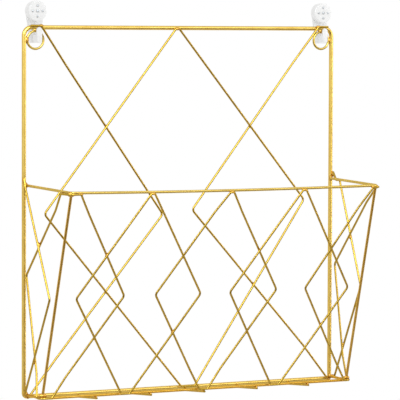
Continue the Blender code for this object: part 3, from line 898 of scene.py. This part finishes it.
for label in ("left", "right"):
    moulding = bpy.data.objects.new(f"hook_moulding_{label}", hook_mesh.copy())
    moulding.data.transform(Matrix.Translation((hook_x[label], 0, 0)))
    bpy.context.scene.collection.objects.link(moulding)
    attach(moulding, "wall_hooks")
    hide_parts(f"hook_{label}")


# Hook pins
# Hardened steel pins with low domed heads are hammered through the boss into the wall, in a plus.
# The centre one has the larger head.

pin_shank = 0.0012
pin_head_height = 0.0006
pin_head_rim = 0.3
centre_head = 0.0026
outer_head = 0.0020
pin_tail = 0.006
pin_seat = 0.0003
dome_steps = 5
pin_steps = 20


def dull_steel():
    """Grey hardened steel: a mottled tone and a dull, uneven gloss."""
    material = bpy.data.materials.new("dull_pin_steel")
    material.use_nodes = True
    nodes, links = material.node_tree.nodes, material.node_tree.links
    shader = nodes["Principled BSDF"]
    shader.inputs["Metallic"].default_value = 1.0
    place = nodes.new("ShaderNodeTexCoord")
    mottle = nodes.new("ShaderNodeTexNoise")
    mottle.inputs["Scale"].default_value = 1500.0
    mottle.inputs["Detail"].default_value = 3.0
    tone = nodes.new("ShaderNodeValToRGB")
    tone.color_ramp.elements[0].color = (0.42, 0.42, 0.43, 1.0)
    tone.color_ramp.elements[1].color = (0.58, 0.58, 0.59, 1.0)
    gloss = nodes.new("ShaderNodeMapRange")
    gloss.inputs["To Min"].default_value = 0.60
    gloss.inputs["To Max"].default_value = 0.75
    links.new(place.outputs["Object"], mottle.inputs["Vector"])
    links.new(mottle.outputs["Fac"], tone.inputs["Fac"])
    links.new(tone.outputs["Color"], shader.inputs["Base Color"])
    links.new(mottle.outputs["Fac"], gloss.inputs["Value"])
    links.new(gloss.outputs["Result"], shader.inputs["Roughness"])
    return material


pin_steel = dull_steel()
pin_tree, given, result = new_tree(
    "hammered_pins", [("Pin", "NodeSocketObject"), ("Finish", "NodeSocketMaterial")]
)
nodes, links = pin_tree.nodes, pin_tree.links
pin_shape = nodes.new("GeometryNodeObjectInfo")
placing = nodes.new("GeometryNodeInstanceOnPoints")
links.new(given.outputs["Pin"], pin_shape.inputs["Object"])
links.new(given.outputs["Geometry"], placing.inputs["Points"])
links.new(pin_shape.outputs["Geometry"], placing.inputs["Instance"])
finish_tree(pin_tree, placing.outputs["Instances"], given, result)

for kind, head, numbers in (("centre", centre_head, [1]), ("outer", outer_head, [2, 3, 4, 5])):
    pin_profile = [(0, -pin_seat - pin_head_height)]
    for step in range(1, dome_steps + 1):
        angle = math.pi / 2 * step / dome_steps
        dome = pin_head_rim + (1 - pin_head_rim) * math.cos(angle)
        pin_profile.append((head / 2 * math.sin(angle), -pin_seat - pin_head_height * dome))
    pin_profile += [
        (head / 2, -pin_seat),
        (pin_shank / 2, -pin_seat),
        (pin_shank / 2, boss_depth + pin_tail - 2 * pin_shank),
        (0, boss_depth + pin_tail),
    ]
    pin = turned(f"{kind}_pin", pin_profile, pin_steps)
    guide = bpy.data.meshes.new(f"{kind}_pin_places")
    places = []
    for label in ("left", "right"):
        for number in numbers:
            x, z = pin_places[number - 1]
            places.append((hook_x[label] + x, -boss_depth, z))
    guide.from_pydata(places, [], [])
    pins = made_by(pin_tree, f"{kind}_pins", guide, {"Pin": pin, "Finish": pin_steel})
    bpy.data.objects.remove(pin, do_unlink=True)
    pins.data.set_sharp_from_angle(angle=sharp_angle)
    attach(pins, "wall_hooks")
    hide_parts(*(f"hook_pin_{label}_{number}" for label in ("left", "right") for number in numbers))


# Stage: floor, light and camera
# A pale round floor well below the rack fades out into a white surround.
# Soft lamps stand in front, at both sides, above and low down, and the camera looks in from the left.

floor_clearance = 0.50
floor_height = frame_low.z - floor_clearance
floor_radius = 1.1
floor_edges = 96
fade_start = 0.45
fade_end = 0.97 * floor_radius
floor_mesh = bmesh.new()
bmesh.ops.create_circle(
    floor_mesh,
    cap_ends=True,
    segments=floor_edges,
    radius=floor_radius,
    matrix=Matrix.Translation((0, 0, floor_height)),
)
floor = as_object("floor", floor_mesh)
pale_floor = bpy.data.materials.new("pale_floor")
pale_floor.use_nodes = True
nodes, links = pale_floor.node_tree.nodes, pale_floor.node_tree.links
floor_shader = nodes["Principled BSDF"]
floor_shader.inputs["Base Color"].default_value = (0.90, 0.90, 0.90, 1.0)
floor_shader.inputs["Roughness"].default_value = 0.9
place = nodes.new("ShaderNodeTexCoord")
flat_place = nodes.new("ShaderNodeVectorMath")
flat_place.operation = "MULTIPLY"
flat_place.inputs[1].default_value = (1.0, 1.0, 0.0)
reach = nodes.new("ShaderNodeVectorMath")
reach.operation = "LENGTH"
fade = nodes.new("ShaderNodeMapRange")
fade.interpolation_type = "SMOOTHSTEP"
fade.inputs["From Min"].default_value = fade_start
fade.inputs["From Max"].default_value = fade_end
clear = nodes.new("ShaderNodeBsdfTransparent")
fading = nodes.new("ShaderNodeMixShader")
links.new(place.outputs["Object"], flat_place.inputs[0])
links.new(flat_place.outputs["Vector"], reach.inputs[0])
links.new(reach.outputs["Value"], fade.inputs["Value"])
links.new(fade.outputs["Result"], fading.inputs["Fac"])
links.new(floor_shader.outputs["BSDF"], fading.inputs[1])
links.new(clear.outputs["BSDF"], fading.inputs[2])
links.new(fading.outputs["Shader"], nodes["Material Output"].inputs["Surface"])
floor.data.materials.append(pale_floor)

# The camera sees plain white, and matt surfaces get an even fill. The gold mirrors white above and behind,
# and a warm dark low in front, which draws the dark edges of the wires.
surround = bpy.data.worlds.new("white_surround")
bpy.context.scene.world = surround
surround.use_nodes = True
nodes, links = surround.node_tree.nodes, surround.node_tree.links
soft_fill = nodes["Background"]
soft_fill.inputs["Color"].default_value = (1.0, 1.0, 1.0, 1.0)
soft_fill.inputs["Strength"].default_value = 0.95
white = nodes.new("ShaderNodeBackground")
white.inputs["Color"].default_value = (1.0, 1.0, 1.0, 1.0)
white.inputs["Strength"].default_value = 1.0
mirror_image = nodes.new("ShaderNodeBackground")
mirror_image.inputs["Strength"].default_value = 1.0
direction = nodes.new("ShaderNodeTexCoord")
slant = nodes.new("ShaderNodeVectorMath")
slant.operation = "DOT_PRODUCT"
slant.inputs[1].default_value = (-0.2, 0.0, 0.98)
rising = nodes.new("ShaderNodeMapRange")
rising.interpolation_type = "SMOOTHSTEP"
rising.inputs["From Min"].default_value = -0.25
rising.inputs["From Max"].default_value = 0.05
apart = nodes.new("ShaderNodeSeparateXYZ")
backdrop = nodes.new("ShaderNodeMapRange")
backdrop.interpolation_type = "SMOOTHSTEP"
backdrop.inputs["From Min"].default_value = -0.2
backdrop.inputs["From Max"].default_value = 0.2
bright = nodes.new("ShaderNodeMath")
bright.operation = "MAXIMUM"
tone = nodes.new("ShaderNodeValToRGB")
tone.color_ramp.elements[0].color = (0.10, 0.055, 0.02, 1.0)
tone.color_ramp.elements[1].color = (1.0, 1.0, 1.0, 1.0)
ray = nodes.new("ShaderNodeLightPath")
seen = nodes.new("ShaderNodeMath")
seen.operation = "MAXIMUM"
mirrored = nodes.new("ShaderNodeMixShader")
choose = nodes.new("ShaderNodeMixShader")
links.new(direction.outputs["Generated"], slant.inputs[0])
links.new(slant.outputs["Value"], rising.inputs["Value"])
links.new(direction.outputs["Generated"], apart.inputs["Vector"])
links.new(apart.outputs["Y"], backdrop.inputs["Value"])
links.new(rising.outputs["Result"], bright.inputs[0])
links.new(backdrop.outputs["Result"], bright.inputs[1])
links.new(bright.outputs["Value"], tone.inputs["Fac"])
links.new(tone.outputs["Color"], mirror_image.inputs["Color"])
links.new(ray.outputs["Is Glossy Ray"], mirrored.inputs["Fac"])
links.new(soft_fill.outputs["Background"], mirrored.inputs[1])
links.new(mirror_image.outputs["Background"], mirrored.inputs[2])
links.new(ray.outputs["Is Camera Ray"], seen.inputs[0])
links.new(ray.outputs["Is Transmission Ray"], seen.inputs[1])
links.new(seen.outputs["Value"], choose.inputs["Fac"])
links.new(mirrored.outputs["Shader"], choose.inputs[1])
links.new(white.outputs["Background"], choose.inputs[2])
links.new(choose.outputs["Shader"], nodes["World Output"].inputs["Surface"])

# The key lamp and the left one are cooler than the others, like daylight. Two lamps light the white plastic
# as well as the gold, and the rest are seen in glossy reflections alone, so the hooks don't burn out.
middle = Vector((0.0, -0.05, -0.18))
daylight = (0.90, 1.04, 1.12)
neutral = (1.0, 1.0, 1.0)
matt_lamps = ("top_softbox", "low_bounce")
for name, place, width, height, power, colour in (
    ("key_softbox", (-0.36, -1.85, 0.85), 1.2, 0.9, 35.0, daylight),
    ("right_strip", (1.9, -1.0, -0.15), 0.40, 1.0, 9.0, neutral),
    ("top_softbox", (0.95, -1.55, 0.83), 1.1, 0.9, 6.0, neutral),
    ("left_softbox", (-1.61, -0.98, 0.765), 0.7, 0.5, 17.0, daylight),
    ("right_softbox", (1.64, -1.26, 0.18), 0.4, 0.35, 3.5, neutral),
    ("low_bounce", (1.0, -1.5, -1.2), 1.2, 0.8, 2.0, neutral),
):
    lamp = bpy.data.lights.new(name, "AREA")
    lamp.shape = "RECTANGLE"
    lamp.size = width
    lamp.size_y = height
    lamp.energy = power
    lamp.color = colour
    softbox = bpy.data.objects.new(name, lamp)
    softbox.location = place
    softbox.rotation_euler = (middle - Vector(place)).to_track_quat("-Z", "Y").to_euler()
    softbox.visible_diffuse = name in matt_lamps
    bpy.context.scene.collection.objects.link(softbox)

view_from = Vector((-1.3157, -2.4674, -0.0188))
view_yaw = math.radians(28.494)
view_pitch = math.radians(3.25)
view_roll = math.radians(-0.21)
level = math.cos(view_pitch)
looking = Vector((math.sin(view_yaw) * level, math.cos(view_yaw) * level, -math.sin(view_pitch)))
aim = looking.to_track_quat("-Z", "Y").to_matrix()
lens = bpy.data.cameras.new("camera")
lens.sensor_width = 36.0
lens.lens = 266.13
camera = bpy.data.objects.new("camera", lens)
camera.location = view_from
camera.rotation_euler = (Matrix.Rotation(view_roll, 3, looking) @ aim).to_euler()
bpy.context.scene.collection.objects.link(camera)
bpy.context.scene.camera = camera
bpy.context.scene.view_settings.view_transform = "Standard"
